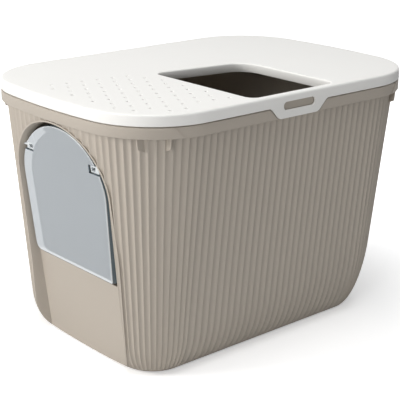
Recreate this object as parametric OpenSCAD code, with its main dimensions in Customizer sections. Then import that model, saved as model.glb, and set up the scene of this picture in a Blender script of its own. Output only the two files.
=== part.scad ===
// Top entry litter box: a fluted tapered tub, a perforated lid with two flexing latch tabs,
// and a swinging door flap hung on two clear hinge clips. Sizes are in millimetres.
// X runs along the length with the door at -X, Z is up, and the origin is under the middle of the base.

/* [Overall] */
// Length over the lid
length = 585; // [520:1:650]
// Width over the lid
width = 408; // [380:1:450]
// Height to the top of the lid
height = 398; // [370:1:440]

/* [Lid] */
// Corner radius of the lid's outline
lid_corner_r = 117; // [90:1:125]
// Radius of the gentle bow of both ends
end_bow_r = 1000; // [800:10:1600]
// Height of the lid's skirt
skirt_h = 16; // [14:0.5:19]
// Wall of the lid
lid_wall = 2.6; // [2.2:0.1:3.2]
// Diameter of one litter hole
hole_d = 5; // [3:0.5:7]
// Pitch of the litter holes along a row
hole_pitch = 24.8; // [22:0.1:30]
// Pitch of the litter holes along a column
hole_step = 25.4; // [22:0.1:30]
// Margin between the litter holes and the lid's outline
hole_margin = 24; // [18:1:30]
// Depth of the turned-down lip around the entry
lip_h = 14; // [9:1:22]

/* [Entry] */
// Length of the entry along the near long side
entry_l = 164; // [140:1:180]
// Width of the entry at its door end
entry_w_door = 214; // [190:1:220]
// Width of the entry at its far end
entry_w_far = 190; // [170:1:200]
// Offset of the entry's middle from the middle of the lid
entry_shift = 3; // [-10:1:15]
// Distance from the lid's long edge to the entry
entry_edge = 14; // [12:1:20]

/* [Tub] */
// Wall of the tub, measured behind the flutes
tub_wall = 2.4; // [2:0.1:3.2]
// Thickness of the floor
floor_t = 3; // [2.5:0.5:5]
// Inset of the wall under the collar from the lid's outline
wall_inset = 8.5; // [7.5:0.5:9.5]
// Draft of the end walls, as inset for each millimetre of depth
end_draft = 0.098; // [0.07:0.002:0.11]
// Draft of the long walls, as inset for each millimetre of depth
side_draft = 0.089; // [0.07:0.002:0.1]
// Corner radius of the wall where it would meet the ground
base_corner_r = 71; // [65:1:80]
// Width of the turn from wall to floor at the door end
turn_in_door = 27; // [22:1:30]
// Height of the turn from wall to floor at the door end
turn_h_door = 50; // [35:1:60]
// Width of the turn from wall to floor at the far end
turn_in_far = 35; // [28:1:38]
// Height of the turn from wall to floor at the far end
turn_h_far = 120; // [60:1:130]
// Depth of one flute
flute_depth = 2.2; // [1:0.1:2.6]
// Flutes along one long side
flutes_long = 28; // [20:1:32]
// Flutes round one corner
flutes_corner = 14; // [10:1:16]
// Flutes across one end
flutes_end = 14; // [10:1:16]

/* [Rim] */
// Drop of the collar below the lid's skirt
collar_h = 17.5; // [15:0.5:22]
// Thickness of the collar and of the rim inside the lid
rim_t = 2.5; // [2:0.1:2.8]
// Gap between the lid's skirt and the ledge under it
skirt_gap = 1.5; // [0.5:0.1:2]
// Gap between the lid and the rim that carries it
seat_gap = 0.3; // [0.2:0.1:0.5]
// Drop of the stiffening webs under the collar
web_drop = 14.5; // [8:0.5:18]
// Half length of the plain stretch between the raised bands of the collar
band_half = 200; // [190:1:210]

/* [Latches] */
// Half width of a latch tab at the skirt
tab_half_top = 60; // [55:1:68]
// Half width of a latch tab at its lower edge
tab_half_low = 35; // [33:1:40]
// Half length of the slot in a latch tab
slot_half = 31.5; // [24:0.5:32]
// Height of the slot in a latch tab
slot_h = 12; // [9:0.5:12]
// Gap between a latch tab and the edge of its notch
notch_gap = 1; // [0.8:0.1:2]

/* [Door] */
// Offset of the door's middle from the middle of the end
door_shift = -2; // [-5:0.5:5]
// Half width of the door panel at the ground
door_half_low = 94; // [88:1:96]
// Half width of the doorway where its arch springs
door_half_spring = 106; // [98:1:108]
// Height of the sill under the flap
sill_z = 132.5; // [110:0.5:150]
// Height where the arch springs
spring_z = 264; // [250:1:270]
// Height of the crown of the arch
crown_z = 356; // [350:1:357]
// Setback of the door panel from the wall, measured at the ground
panel_setback = 20.5; // [19:0.5:22]
// Lean of the door panel, as inset for each millimetre of depth
panel_draft = 0.1137; // [0.105:0.001:0.12]
// Flare of the reveal at the ground, for each millimetre out from the panel
flare_low = 1.35; // [0.8:0.05:1.5]
// Flare of the reveal where the arch springs, for each millimetre out from the panel
flare_spring = 0.45; // [0.2:0.05:0.8]
// Flare of the reveal at the crown, for each millimetre out from the panel
flare_crown = 0.1; // [0:0.05:0.4]
// Gap around the flap
flap_gap = 4.5; // [4:0.5:5]
// Thickness of the flap's moulding
flap_t = 2; // [1.6:0.2:2.5]
// Depth of the flap's tray from its back edge to its face
flap_depth = 8; // [7:0.5:8.5]
// Radius of the flap's lower corners
flap_corner_r = 13; // [8:1:16]
// Radius of the flap's lower corner on the photographed side
flap_corner_near = 4; // [3:0.5:16]
// Distance of the stiffening rib behind the flap from its edge
rib_in = 10; // [8:1:14]

/* [Hinge] */
// Height of the flap's pivot
pivot_z = 306.5; // [300:0.5:312]
// Distance of the flap's pivot in front of the door panel
pivot_out = 2.9; // [2.6:0.1:3.4]
// Radius of a pivot pin
pin_r = 2; // [1.8:0.1:2.4]
// Radial clearance of a pivot pin
pin_clearance = 0.08; // [0.05:0.01:0.1]
// Length of a hinge clip along the pivot
clip_l = 20; // [16:1:22]
// Height of a hinge clip
clip_h = 12; // [10:0.5:13]
// Thickness of a hinge clip
clip_t = 5; // [4.6:0.2:5.4]

/* [Hidden] */
$fn = 48;
over = 5;

half_l = length / 2;
half_w = width / 2;
skirt_z = height - skirt_h;
ledge_z = skirt_z - skirt_gap;
collar_z = skirt_z - collar_h;
lid_under_z = height - lid_wall;
rim_top_z = lid_under_z - seat_gap;

// How far each surface lies inside the lid's outline
collar_inset = 1;
rim_inset = lid_wall + 0.9;
wall_half_l = half_l - wall_inset;
wall_half_w = half_w - wall_inset;
wall_corner_r = lid_corner_r - wall_inset;
base_half_l = wall_half_l - end_draft * collar_z;
base_half_w = wall_half_w - side_draft * collar_z;
skin = flute_depth + tub_wall;

tub_colour = [0.64, 0.58, 0.53];
lid_colour = [0.94, 0.93, 0.90];
flap_colour = [0.62, 0.68, 0.72, 0.7];
clip_colour = [0.85, 0.88, 0.90, 0.6];

// A place on a rounded outline with straight long sides and bowed ends: x, y and the outward angle.
// Segments run anticlockwise from the +X end: end, corner, long side, corner, and round again.
function bow_angle(b, r) = asin((b - r) / (end_bow_r - r));
function corner_x(a, b, r) = a - end_bow_r + sqrt(pow(end_bow_r - r, 2) - pow(b - r, 2));
function spot(a, b, r, seg, t) =
    let (bow = bow_angle(b, r), cx = corner_x(a, b, r), cy = b - r, far = seg >= 4 ? 180 : 0,
         flip = seg >= 4 ? -1 : 1, part = seg % 4)
    part == 0 ? let (g = -bow + 2 * bow * t)
        [flip * (a - end_bow_r + end_bow_r * cos(g)), flip * end_bow_r * sin(g), g + far]
    : part == 1 ? let (g = bow + (90 - bow) * t)
        [flip * (cx + r * cos(g)), flip * (cy + r * sin(g)), g + far]
    : part == 2 ? [flip * (cx - 2 * cx * t), flip * b, 90 + far]
    : let (g = 90 + (90 - bow) * t)
        [flip * (-cx + r * cos(g)), flip * (cy + r * sin(g)), g + far];

function inward(p, d, z) = [p[0] - d * cos(p[2]), p[1] - d * sin(p[2]), z];

// A plain ring with few points on its straight sides
end_steps = 6;
corner_steps = 8;
function ring(a, b, r, z) =
    [for (seg = [0 : 7])
        let (n = seg % 4 == 0 ? end_steps : seg % 4 == 2 ? 1 : corner_steps)
            for (i = [0 : n - 1]) inward(spot(a, b, r, seg, i / n), 0, z)];
function lid_ring(inset, z) = ring(half_l - inset, half_w - inset, lid_corner_r - inset, z);

// The wall's outline at a height, before the turn into the floor
function wall_l(z) = base_half_l + end_draft * z;
function wall_w(z) = base_half_w + side_draft * z;
function wall_r(z) = base_corner_r + (wall_corner_r - base_corner_r) * z / collar_z;

// The turn from wall to floor grows from the door end to the far end. Share is 0 at the door end and
// 1 at the far end, and f climbs the turn from 0 on the ground to 1 where the straight wall starts.
function share(seg, t) = 0.5 + spot(half_l, half_w, lid_corner_r, seg, t)[0] / length;
function turn_in(s) = turn_in_door + (turn_in_far - turn_in_door) * s;
function turn_h(s) = turn_h_door + (turn_h_far - turn_h_door) * s;
function turned(f) = 1 - sqrt(1 - pow(1 - min(f, 1), 2));

// A fluted ring: each flute is a shallow scallop between two sharp arrises
flute_steps = 3;
function flute_count(seg) = seg % 4 == 0 ? flutes_end : seg % 4 == 2 ? flutes_long : flutes_corner;
function fluted_ring(f, depth) =
    [for (seg = [0 : 7], k = [0 : flute_count(seg) - 1], i = [0 : flute_steps - 1])
        let (u = i / flute_steps, t = (k + u) / flute_count(seg), s = share(seg, t),
             z = f > 1 ? f : f * turn_h(s))
        inward(spot(wall_l(z), wall_w(z), wall_r(z), seg, t),
               turn_in(s) * turned(f) + depth * 4 * u * (1 - u), z)];
// A plain ring that runs d inside the wall, from a lowest height up
plain_steps = [end_steps, corner_steps, 6, corner_steps];
function plain_ring(f, d, low) =
    [for (seg = [0 : 7], i = [0 : plain_steps[seg % 4] - 1])
        let (t = i / plain_steps[seg % 4], s = share(seg, t), z = f > 1 ? f : low + f * (turn_h(s) - low))
        inward(spot(wall_l(z), wall_w(z), wall_r(z), seg, t),
               d + (turn_in(s) - (low > 0 ? d : 0)) * turned(f), z)];
function inner_ring(f) = plain_ring(f, skin, floor_t);

// A closed solid through rings of equal length, from the lowest to the highest
module loft(rings) {
    n = len(rings[0]);
    m = len(rings);
    middle = function (r) [0, 0, r[0][2]];
    points = concat([for (r = rings, p = r) p], [middle(rings[0]), middle(rings[m - 1])]);
    sides = [for (j = [0 : m - 2], i = [0 : n - 1])
        let (p = j * n + i, q = j * n + (i + 1) % n)
            each [[p, p + n, q], [q, p + n, q + n]]];
    lower = [for (i = [0 : n - 1]) [m * n, i, (i + 1) % n]];
    upper = [for (i = [0 : n - 1]) [m * n + 1, (m - 1) * n + (i + 1) % n, (m - 1) * n + i]];
    polyhedron(points, concat(sides, lower, upper), convexity = 6);
}

// A hoop through rings of equal length that closes on its first ring
module hoop(rings) {
    n = len(rings[0]);
    m = len(rings);
    sides = [for (j = [0 : m - 1], i = [0 : n - 1])
        let (p = j * n + i, q = j * n + (i + 1) % n, up = ((j + 1) % m) * n,
             s = up + i, t = up + (i + 1) % n)
            each [[p, s, q], [q, s, t]]];
    polyhedron([for (r = rings, p = r) p], sides, convexity = 6);
}

// Rounded corner of a polygon at q, between its neighbours p and s
round_steps = 6;
function rounded(p, q, s, r) =
    let (u = (p - q) / norm(p - q), w = (s - q) / norm(s - q), half = acos(u * w) / 2,
         mid = (u + w) / norm(u + w), c = q + mid * r / sin(half), reach = 90 - half,
         turn = cross(u, w) < 0 ? 1 : -1, aim = atan2(-mid[1], -mid[0]))
    [for (i = [-round_steps : round_steps])
        let (g = aim + turn * reach * i / round_steps) c + r * [cos(g), sin(g)]];
function rounded_polygon(corners, radii) =
    let (n = len(corners))
    [for (i = [0 : n - 1])
        each rounded(corners[(i + n - 1) % n], corners[i], corners[(i + 1) % n], radii[i])];

// The entry: its near edge runs along the lid's near long side, and its far edge slants a little
entry_y = entry_edge - half_w;
entry_corners = [
    [entry_shift - entry_l / 2, entry_y],
    [entry_shift + entry_l / 2, entry_y],
    [entry_shift + entry_l / 2, entry_y + entry_w_far],
    [entry_shift - entry_l / 2, entry_y + entry_w_door]];
entry_radii = [14, 14, 38, 14];

// Litter holes: a slanting staggered grid at the door end, kept off the entry and the lid's edge
row_angle = -9.6;
column_angle = -119.2;
first_hole = [-245.5, 52];
rows = 10;
columns = 11;
entry_margin = 20;
function hole_at(i, j) = first_hole + i * hole_pitch * [cos(row_angle), sin(row_angle)]
    + j * hole_step * [cos(column_angle), sin(column_angle)];
// The outline's distance is taken from its two straight limits and its corner circle
function in_lid(p) =
    let (a = half_l - hole_margin, b = half_w - hole_margin, r = lid_corner_r - hole_margin,
         dx = max(abs(p[0]) - corner_x(a, b, r), 0), dy = max(abs(p[1]) - (b - r), 0))
    abs(p[0]) < a - pow(p[1], 2) / (2 * end_bow_r) && abs(p[1]) < b && norm([dx, dy]) < r;
holes = [for (i = [0 : columns - 1], j = [0 : rows - 1])
    let (p = hole_at(i, j))
        if (in_lid(p) && p[0] < entry_shift - entry_l / 2 - entry_margin) p];

// Latch tab: an S-shaped flare on both sides, which leaves the skirt and meets the lower edge level
tab_steps = 8;
tab_top_z = skirt_z - 0.3;
slot_z = skirt_z;
tab_reach = slot_half + slot_h / 2;
function tab_outline(grow, top, low) =
    let (right = [for (i = [0 : tab_steps]) let (t = i / tab_steps)
        [tab_half_top - (tab_half_top - tab_half_low) * t + grow,
         top + (low - top) * (1 - cos(180 * t)) / 2]])
    concat(right, [for (i = [tab_steps : -1 : 0]) [-right[i][0], right[i][1]]]);

// Door arch on the panel: straight leaning sides and an elliptical head, flared outwards by out
// and grown by a margin, from a lowest height up
arch_steps = 20;
function arch(out, grow, low) =
    let (foot = door_half_low + flare_low * out + grow, side = door_half_spring + flare_spring * out + grow,
         rise = crown_z - spring_z + flare_crown * out + grow, half = foot + (side - foot) * low / spring_z,
         top = [for (i = [0 : arch_steps])
             let (g = 180 * i / arch_steps) [door_shift + side * cos(g), spring_z + rise * sin(g)]])
    concat(top, [[door_shift - half, low], [door_shift + half, low]]);

// The door panel's outer face at a height, and its lean
panel_x0 = base_half_l - panel_setback;
function panel_x(z) = panel_x0 + panel_draft * z;
lean = atan(panel_draft);
panel_t = tub_wall;
pivot_half = door_half_spring * sqrt(1 - pow((pivot_z - spring_z) / (crown_z - spring_z), 2));
pivot_x = panel_x(pivot_z) + pivot_out / cos(lean);

// A prism on the door end: its outline is [y, z] on the panel's plane, from out to deep behind it,
// with an outline of its own at each end
module door_prism(outer, inner, out, deep) {
    n = len(outer);
    points = concat([for (p = inner) [-(panel_x(p[1]) - deep), p[0], p[1]]],
                    [for (p = outer) [-(panel_x(p[1]) + out), p[0], p[1]]]);
    middle = [door_shift, (crown_z + sill_z) / 2];
    mid_in = [-(panel_x(middle[1]) - deep), middle[0], middle[1]];
    mid_out = [-(panel_x(middle[1]) + out), middle[0], middle[1]];
    sides = [for (i = [0 : n - 1]) let (q = (i + 1) % n) each [[i, q, i + n], [q, q + n, i + n]]];
    caps = [for (i = [0 : n - 1]) let (q = (i + 1) % n)
        each [[2 * n, q, i], [2 * n + 1, i + n, q + n]]];
    polyhedron(concat(points, [mid_in, mid_out]), concat(sides, caps), convexity = 4);
}

reveal_out = 30;

// The recess: from the ground up to the arch, flaring out from the panel to the wall
module recess() {
    door_prism(arch(reveal_out, 0, -over), arch(0, 0, -over), reveal_out, 0);
}
// A ring just behind the flutes
function core_ring(f) = plain_ring(f, flute_depth, 0);
// The wall that lines the recess, with the bosses that the flap's pivot pins turn in
module recess_lining() {
    intersection() {
        union() {
            door_prism(arch(reveal_out, tub_wall, 1), arch(0, tub_wall, 1), reveal_out, panel_t);
            pivot_bosses();
        }
        loft([for (f = [0, 0.04, 0.14, 0.36, 0.66, 1, ledge_z - 1]) core_ring(f)]);
    }
}

module wall_shell() {
    difference() {
        union() {
            loft([for (f = [0, 0.04, 0.14, 0.36, 0.66, 1, ledge_z - 1])
                fluted_ring(f, flute_depth * min(f * 4, 1))]);
            webs();
        }
        loft([for (f = [0, 0.04, 0.14, 0.36, 0.66, 1, ledge_z + over]) inner_ring(f)]);
    }
}

// Collar, ledge and the rim that stands up inside the lid, as one hoop
module rim() {
    inner = wall_inset + skin - 1 - end_draft * (ledge_z - collar_z);
    round_off = 0.8;
    slope = 2.4;
    hoop([for (p = [[collar_inset + rim_t, collar_z], [collar_inset + round_off, collar_z],
                    [collar_inset, collar_z + round_off], [collar_inset, ledge_z - round_off],
                    [collar_inset + round_off, ledge_z], [rim_inset, ledge_z],
                    [rim_inset, rim_top_z - slope], [rim_inset + slope * 0.8, rim_top_z],
                    [rim_inset + rim_t, rim_top_z], [rim_inset + rim_t, ledge_z],
                    [inner, ledge_z], [inner, ledge_z - rim_t],
                    [collar_inset + rim_t, ledge_z - rim_t]])
        lid_ring(p[0], p[1])]);
}

// Thin webs that stiffen the collar at the corners: at each, one runs along X and one along Y.
// They reach into the wall here, and the tub's hollow trims them.
web_t = 2;
web_along_x = [258, 160.8];
web_along_y = [190.5, 222.5];
module web(reach) {
    deep = wall_inset + 6;
    translate([0, web_t / 2, 0]) rotate([90, 0, 0]) linear_extrude(web_t)
        polygon([[reach, ledge_z - 1], [reach, collar_z], [reach - 1.5, collar_z - web_drop],
                 [reach - deep, collar_z - web_drop - deep * 0.4], [reach - deep, ledge_z - 1]]);
}
module webs() {
    for (end = [0, 1], side = [0, 1]) mirror([end, 0, 0]) mirror([0, side, 0]) {
        translate([0, web_along_x[1], 0]) web(web_along_x[0]);
        translate([web_along_y[1], 0, 0]) rotate(90) web(web_along_y[0]);
    }
}

// The raised band of the collar at both ends, which ends in an S on each long side
band_t = 0.8;
module collar_band() {
    s_steps = 8;
    s_reach = 25;
    edge = [for (i = [0 : s_steps]) let (t = i / s_steps)
        [band_half + s_reach * t, collar_z + (ledge_z - collar_z) * (1 - cos(180 * t)) / 2]];
    difference() {
        hoop([for (p = [[collar_inset + 1, collar_z + 0.3], [collar_inset - band_t + 0.4, collar_z + 0.3],
                        [collar_inset - band_t, collar_z + 0.9], [collar_inset - band_t, ledge_z - 1.1],
                        [collar_inset - band_t + 0.4, ledge_z - 0.6], [collar_inset + 1, ledge_z - 0.6]])
            lid_ring(p[0], p[1])]);
        translate([0, width, 0]) rotate([90, 0, 0]) linear_extrude(2 * width)
            polygon(concat([[-band_half, collar_z - 1], [band_half, collar_z - 1]], edge,
                           [for (i = [s_steps : -1 : 0]) [-edge[i][0], edge[i][1]]]));
    }
}

// The backing behind a latch tab, and the raised pad that its slot shows
module latch_backing() {
    back_half = tab_half_top + 8;
    translate([-back_half, half_w - rim_inset - rim_t, collar_z])
        cube([2 * back_half, rim_t, ledge_z - collar_z - 1]);
}
module latch_pad() {
    pad = 0.65;
    translate([0, half_w - rim_inset - rim_t / 2, slot_z]) rotate([-90, 0, 0])
        linear_extrude(rim_t / 2 + pad) stadium(slot_half - 1, slot_h - 2);
}
module latch_notch() {
    translate([0, half_w - rim_inset, 0]) rotate([90, 0, 0]) translate([0, 0, -over])
        linear_extrude(over)
            polygon(tab_outline(notch_gap, ledge_z + 0.3, collar_z - notch_gap));
}
module stadium(half, h) {
    translate([-half + h / 2, -h / 2]) square([2 * half - h, h]);
    for (side = [-1, 1]) translate([side * (half - h / 2), 0]) circle(h / 2);
}

// Bosses behind the reveal, and the blind bores in them
boss_r = pin_r + tub_wall;
boss_l = 14;
bore_l = 9;
module pivot_bosses() {
    for (side = [-1, 1]) translate([-pivot_x, door_shift + side * (pivot_half - 2), pivot_z])
        rotate([-90 * side, 0, 0]) cylinder(r = boss_r, h = boss_l);
}
module pivot_bores() {
    for (side = [-1, 1]) translate([-pivot_x, door_shift + side * (pivot_half - over), pivot_z])
        rotate([-90 * side, 0, 0]) cylinder(r = pin_r + pin_clearance, h = bore_l + over);
}

module tub() {
    color(tub_colour) {
        difference() {
            union() {
                wall_shell();
                rim();
                collar_band();
                recess_lining();
                for (turn = [0, 180]) rotate(turn) latch_backing();
            }
            recess();
            door_prism(arch(0, 0, sill_z), arch(0, 0, sill_z), 1, panel_t + 1);
            pivot_bores();
            for (turn = [0, 180]) rotate(turn) latch_notch();
        }
        for (turn = [0, 180]) rotate(turn) latch_pad();
    }
}

module lid() {
    shoulder = 1.2;
    color(lid_colour) {
        difference() {
            loft([lid_ring(0, skirt_z), lid_ring(0.6, height - 3.4), lid_ring(1.6, height - shoulder),
                  lid_ring(4.2, height)]);
            loft([lid_ring(lid_wall, skirt_z - over), lid_ring(lid_wall, skirt_z),
                  lid_ring(lid_wall + 0.6, lid_under_z - 1.6), lid_ring(lid_wall + 2, lid_under_z)]);
            translate([0, 0, skirt_z]) linear_extrude(skirt_h + over)
                polygon(rounded_polygon(entry_corners, entry_radii));
            for (p = holes) translate([p[0], p[1], lid_under_z - over])
                cylinder(d = hole_d, h = lid_wall + 2 * over);
            for (turn = [0, 180]) rotate(turn) tab_slot();
        }
        entry_lip();
    }
}

module entry_lip() {
    translate([0, 0, height - lip_h]) linear_extrude(lip_h - lid_wall / 2) difference() {
        polygon(rounded_polygon(grown(lid_wall), [for (r = entry_radii) r + lid_wall]));
        polygon(rounded_polygon(entry_corners, entry_radii));
    }
}
// The entry's corners moved out by a margin, along the sides that meet there
function grown(d) =
    let (slant = atan((entry_w_far - entry_w_door) / entry_l), rise = d * tan(45 + slant / 2),
         fall = d * tan(45 - slant / 2))
    [entry_corners[0] + [-d, -d], entry_corners[1] + [d, -d],
     entry_corners[2] + [d, fall], entry_corners[3] + [-d, rise]];

module tab_slot() {
    translate([0, half_w - lid_wall - 1, slot_z]) rotate([-90, 0, 0])
        linear_extrude(lid_wall + over) stadium(slot_half, slot_h);
}

module latch_tab() {
    color(lid_colour) difference() {
        translate([0, half_w, 0]) rotate([90, 0, 0]) linear_extrude(lid_wall)
            polygon(tab_outline(0, tab_top_z, collar_z));
        tab_slot();
    }
}
module latch_tab_front() { rotate(180) latch_tab(); }
module latch_tab_rear() { latch_tab(); }

// The flap: a shallow arched tray that opens to the inside, with a stiffening rib behind its face.
// Each of its outlines is [y, z] on the door panel's plane, inset from its back edge.
flap_draft = 1.5;
edge_round = 1.2;
function flap_outline(inset, lift = 0) =
    let (a = arch(0, -flap_gap - inset, sill_z + flap_gap + inset + lift), n = len(a))
    concat([for (i = [0 : n - 3]) a[i]],
           rounded(a[n - 3], a[n - 2], a[n - 1], flap_corner_near),
           rounded(a[n - 2], a[n - 1], a[0], flap_corner_r));
module shoulder_cut() {
    clear = 0.3;
    for (side = [-1, 1]) clip_place(side)
        translate([-flap_depth, side > 0 ? -clip_l - clear : -over, -clip_h / 2 - clear])
            cube([2 * flap_depth, clip_l + clear + over, clip_h + 2 * clear]);
}
module door_flap() {
    color(flap_colour) difference() {
        union() {
            difference() {
                union() {
                    door_prism(flap_outline(flap_draft), flap_outline(0), flap_depth - edge_round, 0);
                    door_prism(flap_outline(flap_draft + edge_round), flap_outline(flap_draft + 0.05),
                               flap_depth, edge_round + 0.2 - flap_depth);
                }
                door_prism(flap_outline(flap_draft + flap_t), flap_outline(flap_t),
                           flap_depth - flap_t, 1);
            }
            flap_rib();
        }
        shoulder_cut();
    }
}
module flap_rib() {
    rib_t = 1.6;
    lift = -rib_in;
    difference() {
        door_prism(flap_outline(rib_in, lift + flap_t), flap_outline(rib_in, lift + flap_t),
                   flap_depth - flap_t / 2, -1);
        door_prism(flap_outline(rib_in + rib_t, lift), flap_outline(rib_in + rib_t, lift),
                   flap_depth - flap_t + 0.3, over);
    }
}

// A clear clip in the flap's shoulder, with a pivot pin that reaches into the reveal
clip_y = pivot_half - 5;
window_l = 9;
window_h = 5.5;
module clip_place(side) {
    translate([-pivot_x, door_shift + side * clip_y, pivot_z]) rotate([0, -lean, 0]) children();
}
module hinge_clip(side) {
    pin_l = pivot_half - clip_y + bore_l + 3;
    color(clip_colour) {
        clip_place(side) difference() {
            translate([-clip_t / 2, side > 0 ? -clip_l : 0, -clip_h / 2]) cube([clip_t, clip_l, clip_h]);
            translate([-clip_t, -side * clip_l * 0.6 - window_l / 2, -window_h / 2])
                cube([2 * clip_t, window_l, window_h]);
        }
        translate([-pivot_x, door_shift + side * (clip_y - 4), pivot_z]) rotate([-90 * side, 0, 0])
            cylinder(r = pin_r, h = pin_l);
    }
}
module hinge_clip_left() { hinge_clip(1); }
module hinge_clip_right() { hinge_clip(-1); }

tub();
lid();
latch_tab_front();
latch_tab_rear();
door_flap();
hinge_clip_left();
hinge_clip_right();
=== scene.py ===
import bpy
import bmesh
import math
import numpy as np
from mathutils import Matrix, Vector


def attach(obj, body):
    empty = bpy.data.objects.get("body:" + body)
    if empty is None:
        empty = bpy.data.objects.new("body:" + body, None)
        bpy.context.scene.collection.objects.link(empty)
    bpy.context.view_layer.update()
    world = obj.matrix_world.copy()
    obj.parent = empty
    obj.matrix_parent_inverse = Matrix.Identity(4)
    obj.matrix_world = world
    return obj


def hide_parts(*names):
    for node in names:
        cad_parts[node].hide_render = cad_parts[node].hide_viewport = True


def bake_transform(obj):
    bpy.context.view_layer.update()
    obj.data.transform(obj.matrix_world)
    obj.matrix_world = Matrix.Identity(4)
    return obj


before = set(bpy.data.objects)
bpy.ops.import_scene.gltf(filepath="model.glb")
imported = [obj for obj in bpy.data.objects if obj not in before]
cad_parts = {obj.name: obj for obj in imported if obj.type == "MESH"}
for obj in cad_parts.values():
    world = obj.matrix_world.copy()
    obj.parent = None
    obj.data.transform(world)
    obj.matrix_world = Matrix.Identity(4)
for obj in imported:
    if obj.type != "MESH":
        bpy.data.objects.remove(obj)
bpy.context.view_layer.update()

# Camera
# The photograph is taken from the door end's near corner, a little above the lid, with a long lens.
CAMERA_TURN = math.radians(-38.753)
CAMERA_RISE = math.radians(18.210)
CAMERA_DISTANCE = 1.7639
CAMERA_AIM = Vector((-0.1113, 0.0, 0.2103))
LENS = 104.37
camera_back = Vector((math.sin(CAMERA_TURN) * math.cos(CAMERA_RISE),
                      -math.cos(CAMERA_TURN) * math.cos(CAMERA_RISE), math.sin(CAMERA_RISE)))
camera = bpy.data.objects.new("camera", bpy.data.cameras.new("camera"))
bpy.context.collection.objects.link(camera)
camera.location = CAMERA_AIM + camera_back * CAMERA_DISTANCE
camera.rotation_mode = "QUATERNION"
camera.rotation_quaternion = (-camera_back).to_track_quat("-Z", "Y")
camera.data.sensor_width = 36
camera.data.lens = LENS
camera.data.shift_x = 0.1328
camera.data.shift_y = -0.0007
camera.data.clip_start, camera.data.clip_end = 0.05, 50
bpy.context.scene.camera = camera


# Studio
# A white floor that runs into a white surround, with soft boxes: a large one at the door end,
# a weaker one that grazes the long side, and a gentle one above.
def node(tree, kind, **settings):
    made = tree.nodes.new(kind)
    for key, value in settings.items():
        setattr(made, key, value)
    return made


def new_material(name):
    made = bpy.data.materials.new(name)
    made.use_nodes = True
    made.node_tree.nodes.clear()
    return made, made.node_tree


def soft_box(name, place, aim, size, power, colour=(1, 1, 1)):
    lamp = bpy.data.objects.new(name, bpy.data.lights.new(name, "AREA"))
    bpy.context.collection.objects.link(lamp)
    lamp.data.shape = "RECTANGLE"
    lamp.data.size, lamp.data.size_y = size
    lamp.data.energy = power
    lamp.data.color = colour
    lamp.location = place
    lamp.rotation_mode = "QUATERNION"
    lamp.rotation_quaternion = (Vector(aim) - Vector(place)).to_track_quat("-Z", "Y")
    return lamp


soft_box("key_box", (-2.4, 1.15, 1.35), (-0.1, 0, 0.2), (1.1, 1.1), 46, (1.0, 0.985, 0.965))
soft_box("top_box", (-0.3, -0.4, 2.6), (0, 0, 0.3), (1.6, 1.6), 36)
soft_box("side_box", (-2.6, -1.25, 1.1), (0, 0, 0.2), (0.7, 0.7), 15)

world = bpy.data.worlds.new("surround")
bpy.context.scene.world = world
world.use_nodes = True
world.node_tree.nodes.clear()
wt = world.node_tree
path = node(wt, "ShaderNodeLightPath")
either = node(wt, "ShaderNodeMath", operation="MAXIMUM")
any_ray = node(wt, "ShaderNodeMath", operation="MAXIMUM")
wt.links.new(path.outputs["Is Camera Ray"], either.inputs[0])
wt.links.new(path.outputs["Is Glossy Ray"], either.inputs[1])
wt.links.new(either.outputs[0], any_ray.inputs[0])
wt.links.new(path.outputs["Is Transmission Ray"], any_ray.inputs[1])
dim = node(wt, "ShaderNodeBackground")
dim.inputs["Color"].default_value = (0.93, 0.96, 1.0, 1)
dim.inputs["Strength"].default_value = 0.15
white = node(wt, "ShaderNodeBackground")
white.inputs["Color"].default_value = (1, 1, 1, 1)
white.inputs["Strength"].default_value = 1.0
blend_world = node(wt, "ShaderNodeMixShader")
world_out = node(wt, "ShaderNodeOutputWorld")
wt.links.new(any_ray.outputs[0], blend_world.inputs[0])
wt.links.new(dim.outputs[0], blend_world.inputs[1])
wt.links.new(white.outputs[0], blend_world.inputs[2])
wt.links.new(blend_world.outputs[0], world_out.inputs[0])

floor_mesh = bpy.data.meshes.new("studio_floor")
floor_mesh.from_pydata([(-12, -12, 0), (12, -12, 0), (12, 12, 0), (-12, 12, 0)], [], [(0, 1, 2, 3)])
floor = bpy.data.objects.new("studio_floor", floor_mesh)
bpy.context.collection.objects.link(floor)
floor_material, ft = new_material("White studio floor")
floor_bsdf = node(ft, "ShaderNodeBsdfPrincipled")
floor_bsdf.inputs["Base Color"].default_value = (0.92, 0.92, 0.92, 1)
floor_bsdf.inputs["Roughness"].default_value = 0.9
floor_out = node(ft, "ShaderNodeOutputMaterial")
floor_lift = node(ft, "ShaderNodeEmission")
floor_lift.inputs["Color"].default_value = (1, 1, 1, 1)
floor_path = node(ft, "ShaderNodeLightPath")
floor_place = node(ft, "ShaderNodeTexCoord")
from_middle = node(ft, "ShaderNodeVectorMath", operation="LENGTH")
ft.links.new(floor_place.outputs["Object"], from_middle.inputs[0])
lift_by_reach = node(ft, "ShaderNodeMapRange")
for key, value in (("From Min", 0.30), ("From Max", 1.1), ("To Min", 0.42), ("To Max", 1.0)):
    lift_by_reach.inputs[key].default_value = value
ft.links.new(from_middle.outputs["Value"], lift_by_reach.inputs["Value"])
lift_strength = node(ft, "ShaderNodeMath", operation="MULTIPLY")
ft.links.new(lift_by_reach.outputs[0], lift_strength.inputs[1])
floor_add = node(ft, "ShaderNodeAddShader")
ft.links.new(floor_path.outputs["Is Camera Ray"], lift_strength.inputs[0])
ft.links.new(lift_strength.outputs[0], floor_lift.inputs["Strength"])
ft.links.new(floor_bsdf.outputs[0], floor_add.inputs[0])
ft.links.new(floor_lift.outputs[0], floor_add.inputs[1])
ft.links.new(floor_add.outputs[0], floor_out.inputs[0])
floor_mesh.materials.append(floor_material)


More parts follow.
